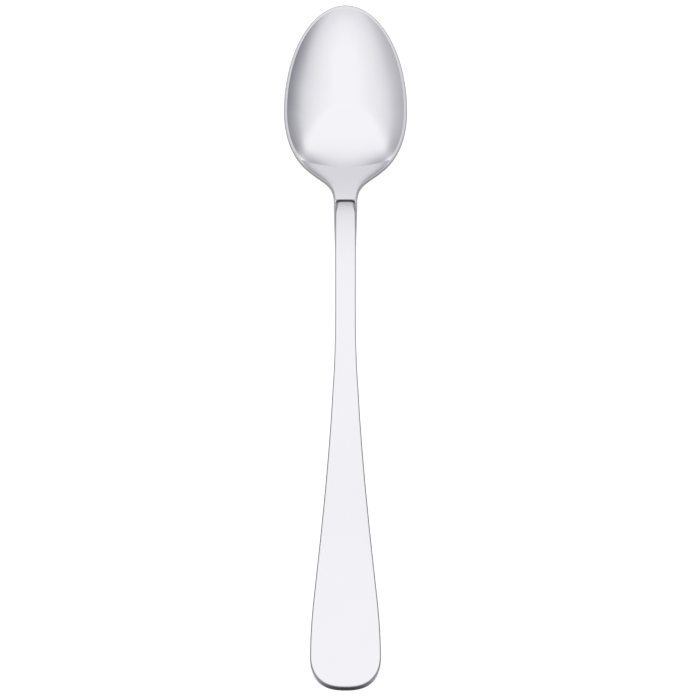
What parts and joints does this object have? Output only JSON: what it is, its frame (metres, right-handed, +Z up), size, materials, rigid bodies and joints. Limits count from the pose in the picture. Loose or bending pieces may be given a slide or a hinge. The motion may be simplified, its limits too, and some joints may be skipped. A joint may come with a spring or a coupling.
{
  "type": "iced tea spoon",
  "caption": "Long polished spoon for tall drinks: egg-shaped bowl with a narrow rim, stepped neck and an arched handle that widens to a rounded end.",
  "frame": {"origin": "middle of the spoon's length and width, at the height of the surface it rests on", "axes": "+Y along the spoon towards the tip of the bowl, +Z up out of the hollow, +X to the right"},
  "size_m": [0.0334, 0.1906, 0.0219],
  "materials": {
    "polished_steel": "mirror-polished stainless steel"
  },
  "bodies": {
    "root": {"bowl": "polished_steel", "handle": "polished_steel"}
  },
  "joints": []
}
